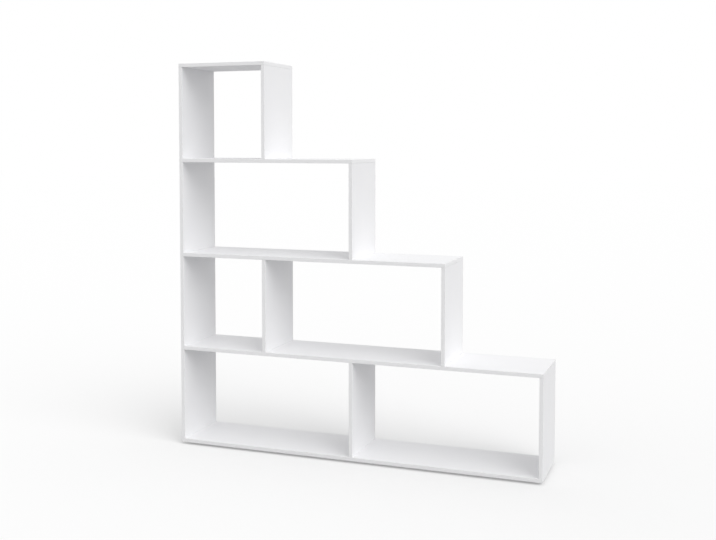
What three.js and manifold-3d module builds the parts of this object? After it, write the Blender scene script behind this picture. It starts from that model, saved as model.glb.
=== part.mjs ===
// Staircase bookshelf: twelve white boards that step down from four storeys at the left to one
// storey at the right, open at the front and the back. Connector screws, eccentric cam fittings
// and wooden dowels hold the drilled boards together, and six nailed glides carry them.
// Millimetres, +Z up, the front faces -Y, the steps go down towards +X, the floor is Z = 0.

import * as THREE from 'three';
import { mergeVertices } from 'three/addons/utils/BufferGeometryUtils.js';
import Module from 'manifold-3d';

const wasm = await Module();
wasm.setup();

// Boards
const boardThickness = 15;
const boardDepth = 280;
const columnPitch = 378; // from the right face of one upright to that of the next
const rowPitch = 395; // from the top of one shelf to the top of the next
const edgeRadius = 1; // easing of the banded edges
const seamGap = 0.2; // between two boards that butt
const fitGap = 0.2; // between a fastener and its hole
const cutOverrun = 2; // how far a cutter runs past the face that it opens

// Connector screws
const screwInset = 70; // from the board's front or back edge
const screwLength = 50;
const screwHeadDiameter = 10;
const screwHeadRim = 0.8;
const screwNeckDiameter = 7;
const screwNeckLength = 14;
const screwCoreDiameter = 5;
const screwTipLength = 4;
const screwSink = 0.3; // of the head below the board's face
const screwSocketWidth = 4; // hexagon across its flats
const screwSocketDepth = 3;

// Cam fittings
const camInset = 60; // from the board's front or back edge
const camSetback = 24; // from the end of the upright to the middle of the housing
const camDiameter = 15;
const camChamfer = 0.5;
const camBackWall = 3; // board left behind the housing
const camThinWall = 1.7; // where the bolt's ball comes in
const camEccentricity = 1.2; // of the cavity, away from the bolt
const camCrossLength = 6.4;
const camCrossWidth = 1.4;
const camCrossDepth = 2;
const camTurn = THREE.MathUtils.degToRad(140);
const boltBoreDiameter = 8;
const boltThreadDiameter = 5;
const boltThreadChamfer = 1;
const boltTipWall = 4; // board left above the bolt's thread
const boltCollarHeight = 1.4;
const boltShankDiameter = 6;
const boltShoulder = 1.2; // how far the ball stands out round the neck

// Wooden dowels
const dowelInset = 60; // from the board's front or back edge
const dowelLength = 30;
const dowelDiameter = 8;
const dowelFluteDepth = 0.4;
const dowelChamfer = 1;
const dowelTipWall = 5; // board left above the dowel
const dowelFlutes = 10;

// Glides
const glideInset = 42; // from the board's front or back edge
const glideEndInset = 20; // from the board's left or right end
const glideDiameter = 24;
const glideHeight = 10;
const glideRounding = 1.5;
const glideDraft = 1; // how much narrower the glide is at the board
const nailDiameter = 2.4;
const nailLength = 11;
const nailTipLength = 3;

// Facets round a circle, and steps in half an arc of an outline
const slimFacets = 10;
const wideFacets = 16;
const socketFacets = 6;
const edgeSteps = 1;
const sweepSteps = 3;

// The storeys from the floor up: the columns that each one spans, and the column whose right side
// has the middle upright
const storeys = [
  { columns: 4, middle: 2 },
  { columns: 3, middle: 1 },
  { columns: 2 },
  { columns: 1 },
];

// Places that follow
const width = boardThickness + storeys[0].columns * columnPitch;
const leftEnd = -width / 2;
const columnFace = (column) => leftEnd + boardThickness + column * columnPitch;
const shelfTop = (level) => glideHeight + boardThickness + level * rowPitch;
const camPocketDepth = boardThickness - camBackWall;
const camCavityRadius = camDiameter / 2 - camThinWall - camEccentricity;
const ballRadius = camCavityRadius - camEccentricity - fitGap;
const neckRadius = ballRadius - boltShoulder;
const sides = [['front', -1], ['back', 1]];

function finish(color, roughness, metalness) {
  return new THREE.MeshStandardMaterial({ color, roughness, metalness });
}

const melamine = () => finish(0xf4f4f5, 0.45, 0);
const platedSteel = () => finish(0xb9bcc0, 0.35, 1);
const castZinc = () => finish(0xa4a7ab, 0.5, 1);
const beech = () => finish(0xd8b88c, 0.7, 0);
const polythene = () => finish(0xe9e9e4, 0.55, 0);

const carcass = new THREE.Group();
const fittings = new THREE.Group();
const bookshelf = new THREE.Group();
bookshelf.add(carcass, fittings);
const boards = [];

// A closed solid that can be cut, from a geometry's bare positions
function asSolid(geometry) {
  const bare = geometry.clone();
  bare.deleteAttribute('normal');
  bare.deleteAttribute('uv');
  const merged = mergeVertices(bare);
  const vertProperties = new Float32Array(merged.attributes.position.array);
  const triVerts = new Uint32Array(merged.index.array);
  return new wasm.Manifold(new wasm.Mesh({ numProp: 3, vertProperties, triVerts }));
}

function asGeometry(solid) {
  const mesh = solid.getMesh();
  const indexed = new THREE.BufferGeometry();
  indexed.setAttribute('position', new THREE.BufferAttribute(mesh.vertProperties, 3));
  indexed.setIndex(new THREE.BufferAttribute(mesh.triVerts, 1));
  const geometry = indexed.toNonIndexed();
  geometry.computeVertexNormals();
  return geometry;
}

const alongX = new THREE.Vector3(1, 0, 0);
const alongY = new THREE.Vector3(0, 1, 0);
const alongZ = new THREE.Vector3(0, 0, 1);

// An outline extruded square to its plane; the axes say where the outline's own two axes and the
// extrusion go
function extruded(outline, length, steps, axes = [alongX, alongY, alongZ]) {
  const geometry = new THREE.ExtrudeGeometry(outline, {
    depth: length,
    bevelEnabled: false,
    curveSegments: steps,
  });
  return geometry.applyMatrix4(new THREE.Matrix4().makeBasis(...axes));
}

// A profile of [radius, height] pairs turned about Z
function turned(profile, facets) {
  const points = profile.map(([radius, height]) => new THREE.Vector2(radius, height));
  return new THREE.LatheGeometry(points, facets).rotateX(Math.PI / 2);
}

// A rod along Z from one height to another
function rod(radius, from, to, facets) {
  return turned([[0, from], [radius, from], [radius, to], [0, to]], facets);
}

// The outline of a board seen edge on, with its banded ends eased and its butting ends square
function edgeOutline(start, end, startRadius, endRadius) {
  const quarter = Math.PI / 2;
  const outline = new THREE.Shape();
  outline.moveTo(start + startRadius, 0);
  outline.absarc(end - endRadius, endRadius, endRadius, -quarter, 0);
  outline.absarc(end - endRadius, boardThickness - endRadius, endRadius, 0, quarter);
  outline.absarc(start + startRadius, boardThickness - startRadius, startRadius, quarter, 2 * quarter);
  outline.absarc(start + startRadius, startRadius, startRadius, 2 * quarter, 3 * quarter);
  return outline;
}

// A board lies along +X from its start, on the plane Z = 0, with its depth centred on Y
function boardGeometry(length, bandedStart, bandedEnd) {
  const section = edgeOutline(-boardDepth / 2, boardDepth / 2, edgeRadius, edgeRadius);
  const run = extruded(section, length, edgeSteps, [alongY, alongZ, alongX]);
  if (!bandedStart && !bandedEnd) return run;
  const start = bandedStart ? 0 : -cutOverrun;
  const sideView = edgeOutline(start, length, bandedStart ? edgeRadius : 0, bandedEnd ? edgeRadius : 0);
  const across = boardDepth + 2 * cutOverrun;
  const ends = extruded(sideView, across, edgeSteps, [alongX, alongZ, alongY.clone().negate()]);
  ends.translate(0, across / 2, 0);
  return asGeometry(asSolid(run).intersect(asSolid(ends)));
}

function addBoard(name, length, bandedStart, bandedEnd) {
  const mesh = new THREE.Mesh(boardGeometry(length, bandedStart, bandedEnd), melamine());
  mesh.name = name;
  const board = { name, mesh, cuts: [] };
  boards.push(board);
  carcass.add(mesh);
  return board;
}

function addShelfBoard(name, level, fromX, toX, bandedStart) {
  const board = addBoard(name, toX - fromX, bandedStart, true);
  board.mesh.position.set(fromX, 0, shelfTop(level) - boardThickness);
  return board;
}

function addUpright(name, column, fromLevel, toLevel) {
  const foot = shelfTop(fromLevel) + seamGap;
  const head = shelfTop(toLevel) - boardThickness - seamGap;
  const board = addBoard(name, head - foot, false, false);
  board.mesh.position.set(columnFace(column), 0, foot);
  board.mesh.rotation.y = -Math.PI / 2;
  return board;
}

// A spot on a board's face where a fitting sits, with its own +Z pointing into the board
const pointing = {
  up: [0, 0, 0],
  down: [Math.PI, 0, 0],
  right: [0, Math.PI / 2, 0],
};

function addSpot(x, y, z, direction) {
  const spot = new THREE.Group();
  spot.position.set(x, y, z);
  spot.rotation.set(...pointing[direction]);
  fittings.add(spot);
  return spot;
}

function addFitting(spot, name, geometry, material) {
  const mesh = new THREE.Mesh(geometry, material);
  mesh.name = name;
  spot.add(mesh);
}

// A cutter stands at a spot until every board is in place
function cut(spot, cutter, ...drilled) {
  drilled.forEach((board) => board.cuts.push({ spot, cutter }));
}

// Screw: a countersunk head with a hexagon socket, a smooth neck through the first board, the core
// of its thread and a tip. Its hole is the same profile with a gap round it and a flat bottom.
function screwProfile(gap, start) {
  const head = screwHeadDiameter / 2 + gap;
  const neck = screwNeckDiameter / 2 + gap;
  const core = screwCoreDiameter / 2 + gap;
  const rim = screwSink + screwHeadRim;
  const neckEnd = screwSink + screwNeckLength + gap;
  return [
    [0, start],
    [head, start],
    [head, rim],
    [neck, rim + head - neck],
    [neck, neckEnd],
    [core, neckEnd + neck - core],
  ];
}

function screwGeometry() {
  const tip = screwSink + screwLength;
  const tipStart = [screwCoreDiameter / 2, tip - screwTipLength];
  const shank = turned([...screwProfile(0, screwSink), tipStart, [0, tip]], slimFacets);
  const socketBottom = screwSink + screwSocketDepth;
  const socket = rod(screwSocketWidth / Math.sqrt(3), -cutOverrun, socketBottom, socketFacets);
  return asGeometry(asSolid(shank).subtract(asSolid(socket)));
}

function screwHole() {
  const core = screwCoreDiameter / 2 + fitGap;
  const bottom = screwSink + screwLength + fitGap;
  return turned([...screwProfile(fitGap, -cutOverrun), [core, bottom], [0, bottom]], slimFacets);
}

function addScrews(name, x, z, direction, ...drilled) {
  for (const [side, sign] of sides) {
    const spot = addSpot(x, sign * (boardDepth / 2 - screwInset), z, direction);
    addFitting(spot, `screw_${name}_${side}`, screwGeometry(), platedSteel());
    cut(spot, screwHole(), ...drilled);
  }
}

// Cam housing: a round casting with an off-centre cavity. The bolt's ball drops in at the mouth,
// and as the housing turns its slot runs along the bolt's neck while the thicker wall draws the
// ball down. The bolt comes from -X.
function camGeometry() {
  const radius = camDiameter / 2;
  const reach = radius + cutOverrun;
  const face = fitGap;
  const floor = camPocketDepth - fitGap;
  const middle = boardThickness / 2;
  const ballRoom = ballRadius + fitGap;
  const neckRoom = neckRadius + fitGap;
  const casting = turned(
    [[0, face], [radius - camChamfer, face], [radius, face + camChamfer], [radius, floor], [0, floor]],
    wideFacets,
  );
  const cavity = rod(camCavityRadius, middle - ballRoom, middle + ballRoom, wideFacets);
  cavity.translate(camEccentricity, 0, 0);
  const sweep = new THREE.Shape();
  sweep.moveTo(0, 0);
  sweep.lineTo(0, neckRoom);
  sweep.lineTo(-reach, neckRoom);
  sweep.absarc(0, 0, reach, Math.PI, Math.PI + camTurn);
  const slot = extruded(sweep, 2 * neckRoom, sweepSteps).translate(0, 0, middle - neckRoom);
  const mouth = rod(ballRoom, 0, reach, slimFacets).rotateY(-Math.PI / 2).rotateZ(camTurn);
  mouth.translate(0, 0, middle);
  const bar = new THREE.BoxGeometry(camCrossLength, camCrossWidth, 2 * camCrossDepth);
  bar.translate(0, 0, face);
  const crossBar = bar.clone().rotateZ(Math.PI / 2);
  let solid = asSolid(casting);
  for (const cutter of [cavity, slot, mouth, bar, crossBar]) {
    solid = solid.subtract(asSolid(cutter));
  }
  return asGeometry(solid);
}

// Cam bolt: its thread goes up into the shelf from the plane Z = 0, and its ball hangs below
function camBoltGeometry() {
  const shank = boltShankDiameter / 2;
  const collar = boltBoreDiameter / 2 - fitGap;
  const thread = boltThreadDiameter / 2;
  const tip = boardThickness - boltTipWall;
  const shankEnd = camDiameter / 2 + fitGap - camSetback;
  const ballEnd = Math.PI - Math.asin(neckRadius / ballRadius);
  const ballSteps = 3;
  const ball = [];
  for (let step = 0; step <= ballSteps; step += 1) {
    const angle = (step / ballSteps) * ballEnd;
    ball.push([ballRadius * Math.sin(angle), -camSetback - ballRadius * Math.cos(angle)]);
  }
  return turned([
    ...ball,
    [neckRadius, shankEnd],
    [shank, shankEnd + shank - neckRadius],
    [shank, -fitGap - boltCollarHeight],
    [collar, -fitGap - boltCollarHeight],
    [collar, -fitGap],
    [thread, -fitGap],
    [thread, tip - boltThreadChamfer],
    [thread - boltThreadChamfer, tip],
    [0, tip],
  ], slimFacets);
}

function addCams(name, column, level, shelf, upright) {
  const underside = shelfTop(level) - boardThickness;
  const middleX = columnFace(column) - boardThickness / 2;
  const threadEnd = boardThickness - boltTipWall + fitGap;
  const threadHole = rod(boltThreadDiameter / 2 + fitGap, -cutOverrun, threadEnd, slimFacets);
  const boltBore = rod(boltBoreDiameter / 2, -camSetback, cutOverrun, slimFacets);
  const pocket = rod(camDiameter / 2 + fitGap, -cutOverrun, camPocketDepth, wideFacets);
  for (const [side, sign] of sides) {
    const y = sign * (boardDepth / 2 - camInset);
    const boltSpot = addSpot(middleX, y, underside, 'up');
    addFitting(boltSpot, `cam_bolt_${name}_${side}`, camBoltGeometry(), platedSteel());
    cut(boltSpot, threadHole, shelf);
    cut(boltSpot, boltBore, upright);
    const camSpot = addSpot(columnFace(column) - boardThickness, y, underside - camSetback, 'right');
    addFitting(camSpot, `cam_housing_${name}_${side}`, camGeometry(), castZinc());
    cut(camSpot, pocket, upright);
  }
}

// Dowel: fluted along its length and chamfered at both ends, the plane Z = 0 is the shelf's underside
function dowelGeometry() {
  const radius = dowelDiameter / 2;
  const outline = new THREE.Shape();
  for (let rib = 0; rib < dowelFlutes; rib += 1) {
    const crest = (rib / dowelFlutes) * 2 * Math.PI;
    const valley = crest + Math.PI / dowelFlutes;
    const deep = radius - dowelFluteDepth;
    if (rib === 0) outline.moveTo(radius, 0);
    else outline.lineTo(radius * Math.cos(crest), radius * Math.sin(crest));
    outline.lineTo(deep * Math.cos(valley), deep * Math.sin(valley));
  }
  const geometry = new THREE.ExtrudeGeometry(outline, {
    depth: dowelLength - 2 * dowelChamfer,
    bevelThickness: dowelChamfer,
    bevelSize: dowelChamfer,
    bevelOffset: -dowelChamfer,
    bevelSegments: 1,
  });
  return geometry.translate(0, 0, boardThickness - dowelTipWall - dowelLength + dowelChamfer);
}

function addDowels(name, column, level, shelf, upright) {
  const top = boardThickness - dowelTipWall;
  const clearOfRibs = (dowelDiameter / 2 + fitGap) / Math.cos(Math.PI / slimFacets);
  const hole = rod(clearOfRibs, top - dowelLength - fitGap, top + fitGap, slimFacets);
  const middleX = columnFace(column) - boardThickness / 2;
  for (const [side, sign] of sides) {
    const y = sign * (boardDepth / 2 - dowelInset);
    const spot = addSpot(middleX, y, shelfTop(level) - boardThickness, 'up');
    addFitting(spot, `dowel_${name}_${side}`, dowelGeometry(), beech());
    cut(spot, hole, shelf, upright);
  }
}

// Glide: a round foot moulded round the head of its nail, which goes up into the bottom board
function glideGeometry() {
  const radius = glideDiameter / 2;
  const nail = nailDiameter / 2;
  const top = glideHeight - seamGap;
  return turned([
    [0, 0],
    [radius - glideRounding, 0],
    [radius, glideRounding],
    [radius - glideDraft, top],
    [nail, top],
    [nail, glideHeight + nailLength - nailTipLength],
    [0, glideHeight + nailLength],
  ], wideFacets);
}

function addGlides(name, x, bottom) {
  const nailEnd = glideHeight + nailLength + fitGap;
  const hole = rod(nailDiameter / 2 + fitGap, glideHeight - cutOverrun, nailEnd, slimFacets);
  for (const [side, sign] of sides) {
    const spot = addSpot(x, sign * (boardDepth / 2 - glideInset), 0, 'up');
    addFitting(spot, `glide_${name}_${side}`, glideGeometry(), polythene());
    cut(spot, hole, bottom);
  }
}

// The boards: the bottom and top ones cap the left side, and the shelves between butt against it
const topLevel = storeys.length;
const sidePanel = addUpright('left_side_panel', 0, 0, topLevel);
const shelfBoards = [];
for (let level = 0; level <= topLevel; level += 1) {
  const toX = columnFace(storeys[Math.max(level - 1, 0)].columns);
  if (level === 0) shelfBoards.push(addShelfBoard('bottom_board', level, leftEnd, toX, true));
  else if (level === topLevel) shelfBoards.push(addShelfBoard('top_board', level, leftEnd, toX, true));
  else shelfBoards.push(addShelfBoard(`shelf_${level}`, level, columnFace(0) + seamGap, toX, false));
}

// The left side: screwed from below, from above, and from outside into each shelf
const sideMiddle = leftEnd + boardThickness / 2;
addScrews('bottom_to_side', sideMiddle, glideHeight, 'up', shelfBoards[0], sidePanel);
addScrews('top_to_side', sideMiddle, shelfTop(topLevel), 'down', shelfBoards[topLevel], sidePanel);
for (let level = 1; level < topLevel; level += 1) {
  const shelfMiddle = shelfTop(level) - boardThickness / 2;
  addScrews(`side_to_shelf_${level}`, leftEnd, shelfMiddle, 'right', sidePanel, shelfBoards[level]);
}

// The uprights: each is screwed at its foot from below. At its head the top board is screwed down,
// an upright at a step has cam fittings, and a middle upright has dowels.
storeys.forEach(({ columns, middle }, below) => {
  const above = below + 1;
  const kinds = middle === undefined ? [['right', columns]] : [['middle', middle], ['right', columns]];
  for (const [kind, column] of kinds) {
    const name = `row_${above}_${kind}`;
    const middleX = columnFace(column) - boardThickness / 2;
    const upright = addUpright(`${name}_upright`, column, below, above);
    const foot = below === 0 ? 'bottom' : `shelf_${below}`;
    const footFace = shelfTop(below) - boardThickness;
    addScrews(`${foot}_to_${name}`, middleX, footFace, 'up', shelfBoards[below], upright);
    const cover = shelfBoards[above];
    if (above === topLevel) addScrews(`top_to_${name}`, middleX, shelfTop(above), 'down', cover, upright);
    else if (kind === 'right') addCams(name, column, above, cover, upright);
    else addDowels(name, column, above, cover, upright);
  }
});

addGlides('left', leftEnd + glideEndInset, shelfBoards[0]);
addGlides('middle', columnFace(storeys[0].middle) - boardThickness / 2, shelfBoards[0]);
addGlides('right', columnFace(storeys[0].columns) - glideEndInset, shelfBoards[0]);

// Every hole is cut where its fitting stands
bookshelf.updateMatrixWorld(true);
for (const { mesh, cuts } of boards) {
  const toBoard = mesh.matrixWorld.clone().invert();
  let solid = asSolid(mesh.geometry);
  for (const { spot, cutter } of cuts) {
    const place = toBoard.clone().multiply(spot.matrixWorld);
    solid = solid.subtract(asSolid(cutter.clone().applyMatrix4(place)));
  }
  mesh.geometry = asGeometry(solid);
}

export default bookshelf;
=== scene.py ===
# Staircase bookshelf: twelve white boards that step down from four storeys to one, dressed round the
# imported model. Metres, +Z up, the front faces -Y and the steps go down towards +X.

import math

import bmesh
import bpy
from mathutils import Matrix, Vector


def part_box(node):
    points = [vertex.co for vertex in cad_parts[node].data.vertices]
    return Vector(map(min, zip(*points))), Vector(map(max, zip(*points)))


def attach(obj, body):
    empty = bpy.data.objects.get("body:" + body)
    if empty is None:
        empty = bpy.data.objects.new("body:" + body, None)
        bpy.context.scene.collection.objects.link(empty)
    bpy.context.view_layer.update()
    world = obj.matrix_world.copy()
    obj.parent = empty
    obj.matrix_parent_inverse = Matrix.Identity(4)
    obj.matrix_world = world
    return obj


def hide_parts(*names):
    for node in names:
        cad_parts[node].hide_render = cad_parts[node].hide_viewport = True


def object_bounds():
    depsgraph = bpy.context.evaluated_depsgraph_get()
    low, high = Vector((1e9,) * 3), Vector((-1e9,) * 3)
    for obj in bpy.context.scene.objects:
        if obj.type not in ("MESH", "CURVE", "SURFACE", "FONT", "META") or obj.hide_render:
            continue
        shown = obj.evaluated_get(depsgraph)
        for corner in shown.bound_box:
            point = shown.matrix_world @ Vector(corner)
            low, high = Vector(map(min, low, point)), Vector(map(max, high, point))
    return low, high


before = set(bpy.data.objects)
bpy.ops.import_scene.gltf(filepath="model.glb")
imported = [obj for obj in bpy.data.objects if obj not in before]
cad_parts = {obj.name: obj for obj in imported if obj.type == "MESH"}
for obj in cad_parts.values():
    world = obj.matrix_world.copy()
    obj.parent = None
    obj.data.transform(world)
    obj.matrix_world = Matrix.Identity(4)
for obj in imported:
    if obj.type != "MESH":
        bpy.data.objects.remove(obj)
cad_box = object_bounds()
mm = 0.001


# Boards. Panels of 15 mm chipboard with white melamine paper pressed on both faces against a silk-matt
# plate. They are sawn square and bored before they are packed. The ends that butt against another
# board are sealed white, so the joints show no brown line, and bare chips show only in the holes.

band_thickness = 1 * mm
glue_line = 0.1 * mm
arris_radius = 1 * mm
arris_steps = 4
same_point = 0.001 * mm  # vertices that are closer than this are one
facing_cosine = 0.9  # at least, between a side's direction and that of a face on it
side_normals = {
    "left": Vector((-1, 0, 0)),
    "right": Vector((1, 0, 0)),
    "front": Vector((0, -1, 0)),
    "back": Vector((0, 1, 0)),
    "foot": Vector((0, 0, -1)),
    "head": Vector((0, 0, 1)),
}


def linear(hex_colour):
    """A colour written as an sRGB hex value, as the linear RGBA that the shaders take."""
    channels = [int(hex_colour[at:at + 2], 16) / 255 for at in (1, 3, 5)]
    return [c / 12.92 if c <= 0.04045 else ((c + 0.055) / 1.055) ** 2.4 for c in channels] + [1]


def add(tree, kind, inputs, **properties):
    """Adds a node with its properties. Each input, named by its identifier, takes a value, another
    node's output, or a node, whose first output in use is then linked."""
    node = tree.nodes.new("ShaderNode" + kind)
    for name, value in properties.items():
        setattr(node, name, value)
    sockets = {socket.identifier: socket for socket in node.inputs}
    for name, value in inputs.items():
        if isinstance(value, bpy.types.Node):
            value = next(socket for socket in value.outputs if socket.enabled)
        if isinstance(value, bpy.types.NodeSocket):
            tree.links.new(value, sockets[name])
        else:
            sockets[name].default_value = value
    return node


def new_material(name):
    """An empty node material, its tree, and the Object coordinates that its patterns read."""
    material = bpy.data.materials.new(name)
    material.use_nodes = True
    tree = material.node_tree
    tree.nodes.clear()
    return material, tree, add(tree, "TexCoord", {}).outputs["Object"]


# Melamine paper is a resin film, IOR about 1.5. The plate leaves a faint even sheen, a ripple a
# couple of millimetres wide that the eye only meets in a grazing light, and hardly any change of tone.
melamine, tree, spots = new_material("white_melamine")
cloud = add(tree, "TexNoise", {"Vector": spots, "Scale": 1 / (160 * mm), "Detail": 2.0})
tone = add(
    tree,
    "Mix",
    {"Factor_Float": cloud, "A_Color": linear("#F2F2F4"), "B_Color": linear("#F6F6F7")},
    data_type="RGBA",
)
polish = add(tree, "TexNoise", {"Vector": spots, "Scale": 1 / (35 * mm), "Detail": 3.0})
sheen = add(tree, "MapRange", {"Value": polish, "To Min": 0.60, "To Max": 0.70})
ripple = add(tree, "TexNoise", {"Vector": spots, "Scale": 1 / (2 * mm), "Detail": 1.0})
relief = add(tree, "Bump", {"Height": ripple, "Strength": 0.3, "Distance": 0.02 * mm})
surface = add(
    tree,
    "BsdfPrincipled",
    {"Base Color": tone, "Roughness": sheen, "IOR": 1.5, "Normal": relief},
)
add(tree, "OutputMaterial", {"Surface": surface})

# Raw chipboard: pressed softwood chips about 3 mm long, straw to tan, matt and torn where a drill
# went through them.
chipboard, tree, spots = new_material("raw_chipboard")
chips = add(tree, "TexVoronoi", {"Vector": spots, "Scale": 1 / (3 * mm), "Randomness": 1.0})
chip_tone = add(
    tree,
    "Mix",
    {
        "Factor_Float": chips.outputs["Color"],
        "A_Color": linear("#A98555"),
        "B_Color": linear("#DCC193"),
    },
    data_type="RGBA",
)
dust = add(tree, "TexNoise", {"Vector": spots, "Scale": 1 / (0.8 * mm), "Detail": 4.0})
torn = add(tree, "Bump", {"Height": dust, "Strength": 0.6, "Distance": 0.2 * mm})
surface = add(
    tree,
    "BsdfPrincipled",
    {"Base Color": chip_tone, "Roughness": 0.9, "IOR": 1.45, "Normal": torn},
)
add(tree, "OutputMaterial", {"Surface": surface})


def lies_on(face, sides):
    """Whether a face looks towards one of the named sides."""
    return any(face.normal.dot(side_normals[side]) > facing_cosine for side in sides)


def eased_block(node, banded, butting):
    """The outer form of a board: the block of its node, rounded over along its banded edges."""
    low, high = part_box(node)
    form = bmesh.new()
    bmesh.ops.create_cube(form, size=1)
    bmesh.ops.scale(form, vec=high - low, verts=form.verts)
    bmesh.ops.translate(form, vec=(low + high) / 2, verts=form.verts)
    arrises = [
        edge
        for edge in form.edges
        if any(lies_on(face, banded) for face in edge.link_faces)
        and not any(lies_on(face, butting) for face in edge.link_faces)
    ]
    bmesh.ops.bevel(
        form,
        geom=arrises,
        offset=arris_radius,
        segments=arris_steps,
        profile=0.5,
        affect="EDGES",
        material=-1,
    )
    return form


def saw(form, side, depth, keep_inside):
    """Saws a form through, parallel to one of its sides and at a depth below it, and closes the cut."""
    normal = side_normals[side]
    reach = max(vertex.co.dot(normal) for vertex in form.verts)
    sawn = bmesh.ops.bisect_plane(
        form,
        geom=form.verts[:] + form.edges[:] + form.faces[:],
        dist=same_point,
        plane_co=normal * (reach - depth),
        plane_no=normal,
        clear_outer=keep_inside,
        clear_inner=not keep_inside,
    )
    edges = [part for part in sawn["geom_cut"] if isinstance(part, bmesh.types.BMEdge)]
    bmesh.ops.holes_fill(form, edges=edges, sides=len(edges))


def fit(form, name, slot, *materials, stands_for=None):
    """Makes a piece of the shelf from a finished form, which it uses up."""
    mesh = bpy.data.meshes.new(name)
    form.to_mesh(mesh)
    form.free()
    for material in materials:
        mesh.materials.append(material)
    piece = bpy.data.objects.new(name, mesh)
    bpy.context.scene.collection.objects.link(piece)
    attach(piece, "root")
    if stands_for:
        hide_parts(stands_for)
    return piece


plans = {}
for node in sorted(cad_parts):
    if node.endswith(("_panel", "_upright")):
        plans[node] = (["front", "back"], ["foot", "head"])
for node in ("shelf_1", "shelf_2", "shelf_3"):
    plans[node] = (["front", "back", "right"], ["left"])
for node in ("bottom_board", "top_board"):
    plans[node] = (["front", "back", "left", "right"], [])

boards = {}
for node, (banded, butting) in plans.items():
    core = eased_block(node, banded, butting)
    for side in banded:
        saw(core, side, band_thickness + glue_line / 2, keep_inside=True)
    for face in core.faces:
        face.material_index = 1 if lies_on(face, banded) else 0
    boards[node] = fit(
        core, f"board_{node}", "white_melamine_board", melamine, chipboard, stands_for=node
    )


# Edge bands. Strips of 1 mm ABS glued round every edge that stays in sight, trimmed flush and
# rounded over to 1 mm. The front and back strips run the whole length and cover the ends of the
# side strips, and a hair of glue line parts them from the faces.

# Extruded ABS, IOR 1.53: the same white as the faces, a touch smoother, buffed after trimming.
edging, tree, spots = new_material("white_abs_edging")
cloud = add(tree, "TexNoise", {"Vector": spots, "Scale": 1 / (90 * mm), "Detail": 2.0})
tone = add(
    tree,
    "Mix",
    {"Factor_Float": cloud, "A_Color": linear("#F1F1F2"), "B_Color": linear("#F5F5F6")},
    data_type="RGBA",
)
buffing = add(tree, "TexNoise", {"Vector": spots, "Scale": 1 / (12 * mm), "Detail": 3.0})
sheen = add(tree, "MapRange", {"Value": buffing, "To Min": 0.50, "To Max": 0.62})
pores = add(tree, "TexNoise", {"Vector": spots, "Scale": 1 / (1.2 * mm), "Detail": 2.0})
relief = add(tree, "Bump", {"Height": pores, "Strength": 0.15, "Distance": 0.02 * mm})
surface = add(
    tree,
    "BsdfPrincipled",
    {"Base Color": tone, "Roughness": sheen, "IOR": 1.53, "Normal": relief},
)
add(tree, "OutputMaterial", {"Surface": surface})

for node, (banded, butting) in plans.items():
    for side in banded:
        band = eased_block(node, banded, butting)
        saw(band, side, band_thickness - glue_line / 2, keep_inside=False)
        if side in ("left", "right"):
            for long_side in ("front", "back"):
                saw(band, long_side, band_thickness + glue_line / 2, keep_inside=True)
        fit(band, f"edge_band_{node}_{side}", "white_melamine_board", edging)


# Connector screws. One-piece steel screws, 50 mm long, turned and thread-rolled, then bright zinc
# plated. The countersunk head with its hexagon socket sits just under the face of the outer board,
# a plain neck fills that board, and the coarse thread bites into the chips of the next one.

screw_sink = 0.3 * mm  # of the head below the board's face
screw_length = 50 * mm
head_radius = 5 * mm
head_rim = 0.8 * mm
head_break = 0.2 * mm  # broken edge of the head's top
neck_radius = 3.5 * mm
neck_end = 14 * mm
core_radius = 2.5 * mm
crest_radius = 3.3 * mm
thread_pitch = 3 * mm
tip_length = 4 * mm
tip_taper_share = 0.5  # of the radius, lost by the very end
socket_width = 4 * mm  # across the flats
socket_radius = socket_width / math.sqrt(3)  # to the corners
socket_depth = 3 * mm
socket_cone = 0.8 * mm
round_steps = 24
hole_clearance = 0.2 * mm
cutter_overrun = 2 * mm
same_height = 0.01 * mm  # edges that are this level belong to one rim

# Bright zinc plate: a cool silver, smooth but not mirror-like, with faint cloudy passivation.
plated_steel, tree, spots = new_material("zinc_plated_steel")
cloud = add(tree, "TexNoise", {"Vector": spots, "Scale": 1 / (2.5 * mm), "Detail": 3.0})
tone = add(
    tree,
    "Mix",
    {"Factor_Float": cloud, "A_Color": linear("#BFC3C9"), "B_Color": linear("#D6D8DA")},
    data_type="RGBA",
)
haze = add(tree, "MapRange", {"Value": cloud, "To Min": 0.22, "To Max": 0.38})
rolling = add(tree, "TexNoise", {"Vector": spots, "Scale": 1 / (0.5 * mm), "Detail": 2.0})
relief = add(tree, "Bump", {"Height": rolling, "Strength": 0.2, "Distance": 0.02 * mm})
surface = add(
    tree,
    "BsdfPrincipled",
    {"Base Color": tone, "Metallic": 1.0, "Roughness": haze, "Normal": relief},
)
add(tree, "OutputMaterial", {"Surface": surface})


def spun(profile, steps=round_steps, turns=1, rise=0):
    """A profile of (radius, height) points turned about Z; with a rise per turn it climbs as a helix."""
    form = bmesh.new()
    points = [form.verts.new((radius, 0, height)) for radius, height in profile]
    line = [form.edges.new(pair) for pair in zip(points, points[1:])]
    bmesh.ops.spin(
        form,
        geom=points + line,
        cent=(0, 0, 0),
        axis=(0, 0, 1),
        dvec=(0, 0, rise / steps),
        angle=2 * math.pi * turns,
        steps=steps * turns,
        use_merge=not rise,
    )
    bmesh.ops.remove_doubles(form, verts=form.verts, dist=same_point)
    bmesh.ops.recalc_face_normals(form, faces=form.faces)
    return form


def rim(form, height):
    """The open edges of a form at a height."""
    return [
        edge
        for edge in form.edges
        if edge.is_boundary and all(abs(vertex.co.z - height) < same_height for vertex in edge.verts)
    ]


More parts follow.
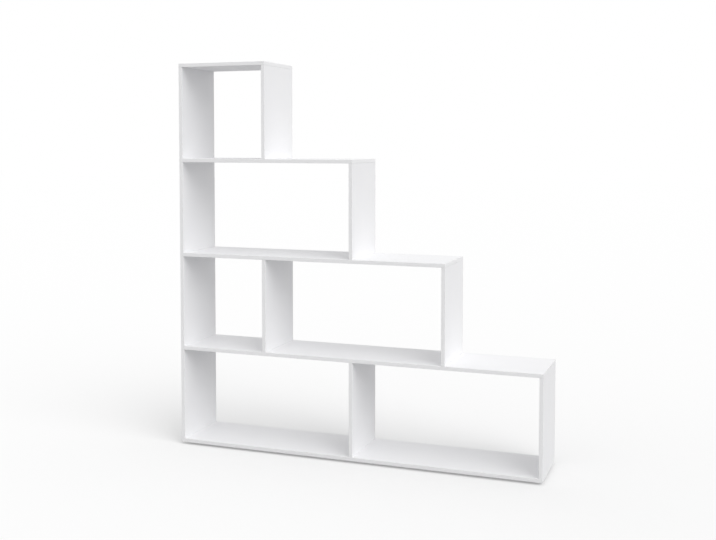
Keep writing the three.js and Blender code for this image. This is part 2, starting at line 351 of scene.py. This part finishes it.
def add_thread(form, start_edges, start, end, core, crest, pitch):
    """Bridges an open edge loop to a helical thread that runs from one height to another."""
    root_end_share, crest_start_share, crest_end_share = 0.55, 0.72, 0.78  # of the pitch
    flank = [
        (core, 0),
        (core, root_end_share * pitch),
        (crest, crest_start_share * pitch),
        (crest, crest_end_share * pitch),
        (core, pitch),
    ]
    turns = math.ceil((end - start) / pitch) + 2
    helix = spun(flank, turns=turns, rise=pitch)
    bmesh.ops.translate(helix, vec=(0, 0, start - pitch), verts=helix.verts)
    for height, above in ((start, False), (end, True)):
        bmesh.ops.bisect_plane(
            helix,
            geom=helix.verts[:] + helix.edges[:] + helix.faces[:],
            plane_co=(0, 0, height),
            plane_no=(0, 0, 1),
            clear_outer=above,
            clear_inner=not above,
        )
    thread_mesh = bpy.data.meshes.new("thread")
    helix.to_mesh(thread_mesh)
    helix.free()
    form.from_mesh(thread_mesh)
    bpy.data.meshes.remove(thread_mesh)
    bmesh.ops.bridge_loops(form, edges=start_edges + rim(form, start))
    return rim(form, end)


def close(form, edges, cone=0):
    """Closes a rim with a face, or with a low cone that reaches further by its height."""
    filled = bmesh.ops.holes_fill(form, edges=edges, sides=len(edges))
    if cone:
        poked = bmesh.ops.poke(form, faces=filled["faces"])
        bmesh.ops.translate(form, vec=(0, 0, cone), verts=poked["verts"])


def soften(form, crease=math.radians(35)):
    """Points the faces outwards and shades them as one surface, but for the arrises."""
    bmesh.ops.remove_doubles(form, verts=form.verts, dist=same_point)
    bmesh.ops.recalc_face_normals(form, faces=form.faces)
    for face in form.faces:
        face.smooth = True
    for edge in form.edges:
        edge.smooth = edge.calc_face_angle(0) < crease


def add_socket(form, outer_edges, height, radius, depth, cone):
    """Sinks a hexagon socket into a head, down from the rim of the head's top."""
    hexagon = bmesh.ops.create_circle(
        form, segments=6, radius=radius, matrix=Matrix.Translation((0, 0, height))
    )
    edges = list({edge for vertex in hexagon["verts"] for edge in vertex.link_edges})
    bmesh.ops.bridge_loops(form, edges=outer_edges + edges)
    walls = bmesh.ops.extrude_edge_only(form, edges=edges)["geom"]
    sunk = [part for part in walls if isinstance(part, bmesh.types.BMVert)]
    bmesh.ops.translate(form, vec=(0, 0, depth), verts=sunk)
    close(form, rim(form, height + depth), cone)


def taper_tip(form, end, length, share):
    """Narrows a form over a length before its end, until the end has lost a share of its radius."""
    for vertex in form.verts:
        past = (vertex.co.z - (end - length)) / length
        if past > 0:
            vertex.co.xy *= 1 - share * past


def screw_form():
    """The screw with the top of its head on Z = 0 and its tip towards +Z."""
    form = spun([
        (head_radius - head_break, 0),
        (head_radius, head_break),
        (head_radius, head_rim),
        (neck_radius, head_rim + head_radius - neck_radius),
        (neck_radius, neck_end),
    ])
    add_socket(form, rim(form, 0), 0, socket_radius, socket_depth, socket_cone)
    thread_start = neck_end + neck_radius - core_radius
    thread = (thread_start, screw_length, core_radius, crest_radius, thread_pitch)
    tip = add_thread(form, rim(form, neck_end), *thread)
    close(form, tip)
    taper_tip(form, screw_length, tip_length, tip_taper_share)
    soften(form)
    return form


def placed(form, spot, direction):
    """A copy of a form that was made along +Z, turned towards a direction and moved to its spot."""
    turns = {"up": (0, "X"), "down": (math.pi, "X"), "right": (math.pi / 2, "Y")}
    angle, axis = turns[direction]
    copied = form.copy()
    place = Matrix.Translation(spot) @ Matrix.Rotation(angle, 4, axis)
    bmesh.ops.transform(copied, matrix=place, verts=copied.verts)
    return copied


def cut(form, cutters, *materials):
    """Takes closed cutters out of a form, and uses them all up. The walls get the last material."""
    helpers = []
    for solid in [form] + cutters:
        mesh = bpy.data.meshes.new("cutter")
        if solid is not form:
            for face in solid.faces:
                face.material_index = max(len(materials) - 1, 0)
                face.smooth = False
        solid.to_mesh(mesh)
        solid.free()
        for material in materials:
            mesh.materials.append(material)
        helper = bpy.data.objects.new("cutter", mesh)
        bpy.context.scene.collection.objects.link(helper)
        helpers.append(helper)
    for cutter in helpers[1:]:
        step = helpers[0].modifiers.new("cut", "BOOLEAN")
        step.operation = "DIFFERENCE"
        step.solver = "EXACT"
        step.object = cutter
    bpy.context.view_layer.update()
    left = bmesh.new()
    left.from_object(helpers[0], bpy.context.evaluated_depsgraph_get())
    for helper in helpers:
        bpy.data.meshes.remove(helper.data)
    return left


def bore(cutters):
    """Cuts each board with the cutters that reach into it, and uses them all up."""
    for node, board in boards.items():
        low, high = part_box(node)
        reaching = [
            cutter.copy()
            for cutter in cutters
            if all(
                min(vertex.co[axis] for vertex in cutter.verts) < high[axis]
                and max(vertex.co[axis] for vertex in cutter.verts) > low[axis]
                for axis in range(3)
            )
        ]
        if reaching:
            whole = bmesh.new()
            whole.from_mesh(board.data)
            drilled = cut(whole, reaching, melamine, chipboard)
            drilled.to_mesh(board.data)
            drilled.free()
    for cutter in cutters:
        cutter.free()


def screw_hole_form():
    """The stepped and countersunk hole, with the thread's way already cut."""
    head = head_radius + hole_clearance
    neck = neck_radius + hole_clearance
    bite = crest_radius + hole_clearance
    top = -screw_sink - cutter_overrun
    bottom = screw_length + hole_clearance
    return spun([
        (0, top),
        (head, top),
        (head, head_rim),
        (neck, head_rim + head - neck),
        (neck, neck_end + hole_clearance),
        (bite, neck_end + hole_clearance + neck - bite),
        (bite, bottom),
        (0, bottom),
    ])


def nodes_called(start):
    """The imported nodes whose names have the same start, in order."""
    return [node for node in sorted(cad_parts) if node.startswith(start)]


def fitting_spot(node, direction):
    """Where a fitting's outer end is: the middle of its box, on the side that it goes in from."""
    low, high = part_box(node)
    spot = (low + high) / 2
    if direction == "up":
        spot.z = low.z
    elif direction == "down":
        spot.z = high.z
    else:
        spot.x = low.x
    return spot


screw = screw_form()
screw_hole = screw_hole_form()
screw_holes = []
capped = []
for node in nodes_called("screw_"):
    direction = {"top": "down", "side": "right"}.get(node.split("_")[1], "up")
    spot = fitting_spot(node, direction)
    piece = placed(screw, spot, direction)
    fit(piece, f"plated_{node}", "plated_steel", plated_steel, stands_for=node)
    screw_holes.append(placed(screw_hole, spot, direction))
    if direction != "up":
        capped.append((node, spot, direction))
bore(screw_holes)


# Screw caps. Small white plugs that hide the heads on the outside of the left side and on the top
# board. Each is moulded in polypropylene: a thin disc, a little crowned, with a hexagonal peg that
# grips in the socket. It fills the countersink up to the board's face.

cap_radius = 5 * mm
cap_thickness = 0.26 * mm
cap_crown = 0.03 * mm
cap_bend_share = 0.6  # of the radius, from where the crown falls off faster
crown_bend_share = 0.3  # of the crown, lost by there
cap_steps = 32
cap_seat = 0.01 * mm  # clearance over the screw's head
peg_play = 0.05 * mm
peg_length = 2 * mm

# Moulded polypropylene, IOR 1.49: white, a little waxier and yellower than the paper beside it.
cap_white, tree, spots = new_material("white_polypropylene")
grain = add(tree, "TexNoise", {"Vector": spots, "Scale": 1 / (0.7 * mm), "Detail": 2.0})
relief = add(tree, "Bump", {"Height": grain, "Strength": 0.3, "Distance": 0.02 * mm})
cloud = add(tree, "TexNoise", {"Vector": spots, "Scale": 1 / (6 * mm)})
tone = add(
    tree,
    "Mix",
    {"Factor_Float": cloud, "A_Color": linear("#EFEFEC"), "B_Color": linear("#F3F3F1")},
    data_type="RGBA",
)
surface = add(
    tree,
    "BsdfPrincipled",
    {
        "Base Color": tone,
        "Roughness": 0.42,
        "IOR": 1.49,
        "Subsurface Weight": 0.1,
        "Subsurface Scale": 0.5 * mm,
        "Normal": relief,
    },
)
add(tree, "OutputMaterial", {"Surface": surface})

cap_top = -cap_seat - cap_thickness
cap = spun([
    (0, cap_top),
    (cap_bend_share * cap_radius, cap_top + crown_bend_share * cap_crown),
    (cap_radius - cap_crown, cap_top + cap_crown),
    (cap_radius, cap_top + cap_thickness / 2),
    (cap_radius, -cap_seat),
], cap_steps)
add_socket(cap, rim(cap, -cap_seat), -cap_seat, socket_radius - peg_play, peg_length, 0)
soften(cap)
for node, spot, direction in capped:
    name = "cap_" + node.removeprefix("screw_")
    fit(placed(cap, spot, direction), name, "white_melamine_board", cap_white)


# Cam housings. Round zinc pressure castings, 15 mm across, pressed into pockets in the left face of
# the three end uprights. A cross recess takes the screwdriver; inside, an off-centre cavity grips
# the ball of the bolt, which dropped in at the mouth, and a slot clears the bolt's neck as it turns.

cam_radius = 7.5 * mm
cam_thickness = 11.6 * mm
cam_break = 0.5 * mm
cam_middle = 7.3 * mm  # from the housing's face to the middle of the board
cam_thin_wall = 1.7 * mm
cam_eccentricity = 1.2 * mm
cam_turn = math.radians(140)
cam_pocket_depth = 12 * mm
cavity_radius = cam_radius - cam_thin_wall - cam_eccentricity
ball_radius = cavity_radius - cam_eccentricity - hole_clearance
ball_overhang = 1.2 * mm  # past the bolt's neck
ball_neck_radius = ball_radius - ball_overhang
cross_length = 6.4 * mm
cross_width = 1.4 * mm
cross_depth = 2 * mm
cross_end_share = 0.75  # of the cross's size, left at the inner end of its bars
cam_steps = 40

# Pressure die-cast zinc: dull mid grey, a fine cast skin that scatters the light, darker in patches.
cast_zinc, tree, spots = new_material("cast_zinc")
patches = add(tree, "TexNoise", {"Vector": spots, "Scale": 1 / (3 * mm), "Detail": 4.0})
tone = add(
    tree,
    "Mix",
    {"Factor_Float": patches, "A_Color": linear("#96999D"), "B_Color": linear("#B9BCBF")},
    data_type="RGBA",
)
dullness = add(tree, "MapRange", {"Value": patches, "To Min": 0.42, "To Max": 0.6})
skin = add(tree, "TexNoise", {"Vector": spots, "Scale": 1 / (0.4 * mm), "Detail": 3.0})
relief = add(tree, "Bump", {"Height": skin, "Strength": 0.4, "Distance": 0.05 * mm})
surface = add(
    tree,
    "BsdfPrincipled",
    {"Base Color": tone, "Metallic": 1.0, "Roughness": dullness, "Normal": relief},
)
add(tree, "OutputMaterial", {"Surface": surface})


def rod(radius, start, end, steps=round_steps):
    """A plain round rod along Z."""
    return spun([(0, start), (radius, start), (radius, end), (0, end)], steps)


def bar(length, width, start, end, end_share=1):
    """A four-sided bar from one height to another, where a share of its length and width is left."""
    form = bmesh.new()
    bmesh.ops.create_cube(form, size=1)
    bmesh.ops.scale(form, vec=(length, width, end - start), verts=form.verts)
    bmesh.ops.translate(form, vec=(0, 0, (start + end) / 2), verts=form.verts)
    narrow = [vertex for vertex in form.verts if vertex.co.z > (start + end) / 2]
    bmesh.ops.scale(form, vec=(end_share, end_share, 1), verts=narrow)
    return form


def cam_form():
    """The housing with its face on Z = 0, its inside towards +Z and its bolt coming from -X."""
    casting = spun([
        (0, 0),
        (cam_radius - cam_break, 0),
        (cam_radius, cam_break),
        (cam_radius, cam_thickness - cam_break),
        (cam_radius - cam_break, cam_thickness),
        (0, cam_thickness),
    ], cam_steps)
    ball_room = ball_radius + hole_clearance
    neck_room = ball_neck_radius + hole_clearance
    reach = cam_radius + cutter_overrun
    cavity = rod(cavity_radius, cam_middle - ball_room, cam_middle + ball_room)
    bmesh.ops.translate(cavity, vec=(cam_eccentricity, 0, 0), verts=cavity.verts)
    way_in = bar(reach, 2 * neck_room, cam_middle - neck_room, cam_middle + neck_room)
    bmesh.ops.translate(way_in, vec=(-reach / 2, 0, 0), verts=way_in.verts)
    slot = bmesh.new()
    corners = [(0, -neck_room), (reach, -neck_room), (reach, neck_room), (0, neck_room)]
    section = [slot.verts.new((-radius, 0, cam_middle + height)) for radius, height in corners]
    start_face = slot.faces.new(section)
    bmesh.ops.spin(
        slot,
        geom=[start_face],
        cent=(0, 0, 0),
        axis=(0, 0, 1),
        angle=cam_turn,
        steps=round_steps // 2,
    )
    bmesh.ops.remove_doubles(slot, verts=slot.verts, dist=same_point)
    bmesh.ops.recalc_face_normals(slot, faces=slot.faces)
    mouth = rod(ball_room, 0, reach)
    lying = Matrix.Rotation(cam_turn, 4, "Z") @ Matrix.Rotation(-math.pi / 2, 4, "Y")
    lying.translation = (0, 0, cam_middle)
    bmesh.ops.transform(mouth, matrix=lying, verts=mouth.verts)
    cross = (cross_length, cross_width, -cross_depth, cross_depth, cross_end_share)
    along, across = bar(*cross), bar(*cross)
    quarter_turn = Matrix.Rotation(math.pi / 2, 3, "Z")
    bmesh.ops.rotate(across, cent=(0, 0, 0), matrix=quarter_turn, verts=across.verts)
    form = cut(casting, [cavity, way_in, slot, mouth, along, across])
    soften(form)
    return form


cam = cam_form()
pocket = rod(cam_radius + hole_clearance, -cutter_overrun, cam_pocket_depth - hole_clearance, cam_steps)
pockets = []
for node in nodes_called("cam_housing_"):
    spot = fitting_spot(node, "right")
    piece = placed(cam, spot, "right")
    fit(piece, f"cast_{node}", "cast_zinc", cast_zinc, stands_for=node)
    pockets.append(placed(pocket, spot, "right"))


# Cam bolts. Turned steel, zinc plated like the screws. The thread goes up into the shelf until the
# collar meets its underside, and the shank hangs down through the end of the upright, so that the
# ball sits in the housing.

bolt_thread_length = 11 * mm
bolt_core_radius = 1.9 * mm
bolt_crest_radius = 2.5 * mm
bolt_pitch = 2 * mm
bolt_tip_length = bolt_pitch / 2
bolt_tip_taper_share = 0.25  # of the radius, lost by the very end
bolt_shank_radius = 3 * mm
bolt_collar_radius = 3.8 * mm
bolt_collar_height = 1.4 * mm
bolt_bore_radius = 4 * mm
cam_setback = 24 * mm  # from the shelf's underside to the middle of the housing
bolt_relief = 0.4 * mm
ball_steps = 8


def bolt_form():
    """The bolt with the shelf's underside on Z = 0, its thread towards +Z and its ball below."""
    last_angle = math.pi - math.asin(ball_neck_radius / ball_radius)
    ball = []
    for step in range(ball_steps + 1):
        angle = last_angle * step / ball_steps
        drop = -cam_setback - ball_radius * math.cos(angle)
        ball.append((ball_radius * math.sin(angle), drop))
    neck_top = cam_radius + hole_clearance - cam_setback
    collar_foot = -hole_clearance - bolt_collar_height
    form = spun(ball + [
        (ball_neck_radius, neck_top),
        (bolt_shank_radius, neck_top + bolt_shank_radius - ball_neck_radius),
        (bolt_shank_radius, collar_foot),
        (bolt_collar_radius - bolt_relief / 2, collar_foot),
        (bolt_collar_radius, collar_foot + bolt_relief / 2),
        (bolt_collar_radius, -hole_clearance),
        (bolt_core_radius, -hole_clearance),
    ])
    thread = (bolt_relief, bolt_thread_length, bolt_core_radius, bolt_crest_radius, bolt_pitch)
    tip = add_thread(form, rim(form, -hole_clearance), *thread)
    close(form, tip)
    taper_tip(form, bolt_thread_length, bolt_tip_length, bolt_tip_taper_share)
    soften(form)
    return form


bolt = bolt_form()
parting = -hole_clearance / 2  # between the boards, where the shelf's hole meets the upright's bore
thread_hole = rod(bolt_crest_radius + hole_clearance, parting, bolt_thread_length + hole_clearance)
bolt_bore = rod(bolt_bore_radius, -cam_setback, parting)
bolt_holes = []
for node in nodes_called("cam_bolt_"):
    spot = fitting_spot(node, "down")
    spot.z -= bolt_thread_length
    piece = placed(bolt, spot, "up")
    fit(piece, f"plated_{node}", "plated_steel", plated_steel, stands_for=node)
    bolt_holes += [placed(thread_hole, spot, "up"), placed(bolt_bore, spot, "up")]
bore(bolt_holes)
bore(pockets)


# Wooden dowels. Turned beech, 8 mm across and 30 mm long, with pressed flutes that let the air out
# and broken ends. They stand in the heads of the two middle uprights and reach into the shelf above.

dowel_radius = 4 * mm
flute_depth = 0.4 * mm
flutes = 16
dowel_break = 1 * mm
dowel_hole_radius = 4.3 * mm
streak_width = 0.7 * mm
streak_length = 9 * mm

# Turned beech: pinkish straw with fine darker streaks along the grain, matt from the cutter.
beech, tree, spots = new_material("fluted_beech")
streaks = (1 / streak_width, 1 / streak_width, 1 / streak_length)
along_grain = add(tree, "Mapping", {"Vector": spots, "Scale": streaks})
grain = add(tree, "TexNoise", {"Vector": along_grain, "Scale": 1.0, "Detail": 5.0})
tone = add(
    tree,
    "Mix",
    {"Factor_Float": grain, "A_Color": linear("#C9A274"), "B_Color": linear("#E7CDA4")},
    data_type="RGBA",
)
relief = add(tree, "Bump", {"Height": grain, "Strength": 0.4, "Distance": 0.1 * mm})
surface = add(
    tree,
    "BsdfPrincipled",
    {"Base Color": tone, "Roughness": 0.75, "IOR": 1.45, "Normal": relief},
)
add(tree, "OutputMaterial", {"Surface": surface})


def dowel_form(length):
    """A fluted dowel that stands on Z = 0."""
    form = bmesh.new()
    outline = bmesh.ops.create_circle(form, cap_ends=True, segments=2 * flutes, radius=dowel_radius)
    valley_share = 1 - flute_depth / dowel_radius
    bmesh.ops.scale(form, vec=(valley_share, valley_share, 1), verts=outline["verts"][::2])
    grown = bmesh.ops.extrude_face_region(form, geom=form.faces[:])
    top = [part for part in grown["geom"] if isinstance(part, bmesh.types.BMVert)]
    bmesh.ops.translate(form, vec=(0, 0, length), verts=top)
    for height in (dowel_break, length - dowel_break):
        bmesh.ops.bisect_plane(
            form,
            geom=form.verts[:] + form.edges[:] + form.faces[:],
            plane_co=(0, 0, height),
            plane_no=(0, 0, 1),
        )
    narrow = 1 - dowel_break / dowel_radius
    ends = [vertex for vertex in form.verts if not 0 < vertex.co.z < length]
    bmesh.ops.scale(form, vec=(narrow, narrow, 1), verts=ends)
    soften(form, crease=math.radians(25))
    return form


dowel_holes = []
for node in nodes_called("dowel_"):
    low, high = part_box(node)
    length = high.z - low.z
    spot = fitting_spot(node, "up")
    piece = placed(dowel_form(length), spot, "up")
    fit(piece, f"beech_{node}", "beech", beech, stands_for=node)
    dowel_hole = rod(dowel_hole_radius, -hole_clearance, length + hole_clearance)
    dowel_holes.append(placed(dowel_hole, spot, "up"))
bore(dowel_holes)


# Glides. White polythene feet, 24 mm across, injection moulded round the head of a wire nail that
# is driven up into the bottom board. Their undersides are dished a little, with a rounded rim.

glide_radius = 12 * mm
glide_rounding = 1.5 * mm
glide_draft = 1 * mm
glide_dish_radius = 8 * mm
glide_dish_depth = 0.4 * mm
nail_radius = 1.2 * mm
nail_head_radius = 3 * mm
nail_head_height = 0.8 * mm
nail_floor = 2 * mm  # of polythene under the nail's head
nail_tip_length = 3 * mm
nail_play = 0.02 * mm
glide_steps = 48
rounding_steps = 4
bottom_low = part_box("bottom_board")[0].z

# Low-density polythene, IOR 1.51: milky, so light enters and spreads a little, with a soft sheen and
# the fine orange-peel of a spark-eroded mould.
polythene, tree, spots = new_material("white_polythene")
cloud = add(tree, "TexNoise", {"Vector": spots, "Scale": 1 / (8 * mm), "Detail": 2.0})
tone = add(
    tree,
    "Mix",
    {"Factor_Float": cloud, "A_Color": linear("#E6E6E1"), "B_Color": linear("#EEEEEA")},
    data_type="RGBA",
)
peel = add(tree, "TexNoise", {"Vector": spots, "Scale": 1 / (0.6 * mm), "Detail": 2.0})
relief = add(tree, "Bump", {"Height": peel, "Strength": 0.4, "Distance": 0.03 * mm})
surface = add(
    tree,
    "BsdfPrincipled",
    {
        "Base Color": tone,
        "Roughness": 0.5,
        "IOR": 1.51,
        "Subsurface Weight": 0.25,
        "Subsurface Scale": 2 * mm,
        "Normal": relief,
    },
)
add(tree, "OutputMaterial", {"Surface": surface})


def glide_form(top):
    """The moulded foot on the floor, hollow where the nail's head and shank are."""
    rounding = []
    for step in range(rounding_steps + 1):
        angle = math.pi / 2 * step / rounding_steps
        radius = glide_radius - glide_rounding + glide_rounding * math.sin(angle)
        rounding.append((radius, glide_rounding * (1 - math.cos(angle))))
    shank = nail_radius + nail_play
    head = nail_head_radius + nail_play
    head_top = nail_floor + nail_head_height + nail_play
    form = spun([
        (0, glide_dish_depth),
        (glide_dish_radius, glide_dish_depth),
        (glide_dish_radius + glide_dish_depth, 0),
        *rounding,
        (glide_radius - glide_draft, top),
        (shank, top),
        (shank, head_top),
        (head, head_top),
        (head, nail_floor - nail_play),
        (0, nail_floor - nail_play),
    ], glide_steps)
    soften(form)
    return form


def nail_form(tip):
    """The wire nail, its flat head inside the foot."""
    form = spun([
        (0, nail_floor),
        (nail_head_radius, nail_floor),
        (nail_head_radius, nail_floor + nail_head_height),
        (nail_radius, nail_floor + nail_head_height),
        (nail_radius, tip - nail_tip_length),
        (0, tip),
    ])
    soften(form)
    return form


nail_holes = []
for node in nodes_called("glide_"):
    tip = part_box(node)[1].z
    spot = fitting_spot(node, "up")
    foot = placed(glide_form(bottom_low - hole_clearance), spot, "up")
    fit(foot, f"moulded_{node}", "white_polythene", polythene, stands_for=node)
    nail = placed(nail_form(tip), spot, "up")
    fit(nail, node.replace("glide_", "glide_nail_"), "plated_steel", plated_steel)
    nail_hole = rod(nail_radius + hole_clearance, bottom_low - cutter_overrun, tip + hole_clearance)
    nail_holes.append(placed(nail_hole, spot, "up"))
bore(nail_holes)


# Studio. A pale floor that turns to the white of the backdrop with distance from the shelf, by a
# painted white glow mixed into its look. The glow is weak under the shelf and grows outwards, so
# the floor stays greyer near the shelf: painted shade round its foot, on top of its real shadows.
# Floor and backdrop both look paler to the camera, and in reflections, than to the light, so that
# neither floods the shelf with light.

floor_size = 60  # metres across, so that its edge is out of sight
# The floor's painted white glow: how much of it shows under the shelf, and how far out it has grown
# halfway to full.
glow_share_under_shelf = 0.25  # of plain white in the floor's look under the shelf
halving_distance = 600 * mm  # from the shelf's foot, where half of the rest has turned white


def is_seen(tree):
    """1 for the rays that show the studio, straight or by a reflection, and 0 for those that light."""
    path = add(tree, "LightPath", {})
    seen = path.outputs["Is Camera Ray"]
    for kind in ("Is Glossy Ray", "Is Transmission Ray"):
        inputs = {"Value": seen, "Value_001": path.outputs[kind]}
        seen = add(tree, "Math", inputs, operation="MAXIMUM").outputs["Value"]
    return seen


floor_paint, tree, spots = new_material("studio_floor")
seen = is_seen(tree)
grey = add(
    tree,
    "Mix",
    {"Factor_Float": seen, "A_Color": linear("#BCBCBC"), "B_Color": linear("#EDEDED")},
    data_type="RGBA",
)
matt = add(tree, "BsdfDiffuse", {"Color": grey, "Roughness": 0.5})
# Painted glow: plain white emission. Less of it near the shelf leaves the floor greyer there, a painted
# shade.
white = add(tree, "Emission", {"Color": linear("#FFFFFF"), "Strength": 1.0})
foot_low, foot_high = (Vector((*corner[:2], 0)) for corner in cad_box)
foot_middle = (foot_low + foot_high) / 2
foot_reach = (foot_high - foot_low) / 2
out_of_middle = add(tree, "VectorMath", {"Vector": spots, "Vector_001": foot_middle}, operation="SUBTRACT")
folded = add(tree, "VectorMath", {"Vector": out_of_middle}, operation="ABSOLUTE")
past_foot = add(tree, "VectorMath", {"Vector": folded, "Vector_001": foot_reach}, operation="SUBTRACT")
outside = add(tree, "VectorMath", {"Vector": past_foot, "Vector_001": (0, 0, 0)}, operation="MAXIMUM")
distance = add(tree, "VectorMath", {"Vector": outside}, operation="LENGTH").outputs["Value"]
lengthened = add(tree, "Math", {"Value": distance, "Value_001": halving_distance}, operation="ADD")
turned = add(tree, "Math", {"Value": distance, "Value_001": lengthened}, operation="DIVIDE")
painted_glow_share = add(tree, "MapRange", {"Value": turned, "To Min": glow_share_under_shelf, "To Max": 1.0})
seen_share = add(tree, "Math", {"Value": painted_glow_share, "Value_001": seen}, operation="MULTIPLY")
surface = add(tree, "MixShader", {"Fac": seen_share, "Shader": matt, "Shader_001": white})
add(tree, "OutputMaterial", {"Surface": surface})

floor_form = bmesh.new()
bmesh.ops.create_grid(floor_form, x_segments=1, y_segments=1, size=floor_size / 2)
floor_mesh = bpy.data.meshes.new("studio_floor")
floor_form.to_mesh(floor_mesh)
floor_form.free()
floor_mesh.materials.append(floor_paint)
floor = bpy.data.objects.new("studio_floor", floor_mesh)
bpy.context.scene.collection.objects.link(floor)

# The white tent round the studio gives light from all sides, and shows as plain white.
tent_strength = 0.70
tent = bpy.data.worlds.new("white_tent")
bpy.context.scene.world = tent
tent.use_nodes = True
tree = tent.node_tree
tree.nodes.clear()
level = add(tree, "MapRange", {"Value": is_seen(tree), "To Min": tent_strength, "To Max": 1.0})
white = add(tree, "Background", {"Color": linear("#FFFFFF"), "Strength": level})
add(tree, "OutputWorld", {"Surface": white})

# Two wide softboxes far off: the key light high on the right, and a weak fill low in front, for the
# front edges. Each has its azimuth from the front towards the right, its elevation and its spread,
# in degrees, and its share of the light that shows a white face as white.
softboxes = {
    "key_softbox": (60, 40, 50, 0.44),
    "fill_softbox": (0, 10, 60, 0.065),
}
for name, (azimuth, elevation, spread, share) in softboxes.items():
    lamp = bpy.data.lights.new(name, "SUN")
    lamp.angle = math.radians(spread)
    lamp.energy = share * math.pi
    softbox = bpy.data.objects.new(name, lamp)
    softbox.rotation_euler = (math.radians(90 - elevation), 0, math.radians(azimuth))
    softbox.visible_glossy = False  # or the treads would flare to white when seen from behind
    bpy.context.scene.collection.objects.link(softbox)


# Camera. It stands at chest height, in front of the shelf and to its right, and tilts down a little.
# Its lens is shifted down as well, which keeps the uprights all but upright, as in the photograph.

picture_width = 716
picture_height = 540
focal_length_pixels = 1002.6
principal_row = 195.6
camera_place = Vector((1.379, -3.8228, 1.2751))
camera_turn = math.radians(20.088)
camera_tilt = math.radians(3)

camera_data = bpy.data.cameras.new("camera")
camera_data.lens = focal_length_pixels / picture_width * camera_data.sensor_width
camera_data.shift_y = (principal_row - picture_height / 2) / picture_width
camera = bpy.data.objects.new("camera", camera_data)
camera.location = camera_place
camera.rotation_euler = (math.pi / 2 - camera_tilt, 0, camera_turn)
bpy.context.scene.collection.objects.link(camera)
bpy.context.scene.camera = camera
bpy.context.scene.view_settings.view_transform = "Standard"
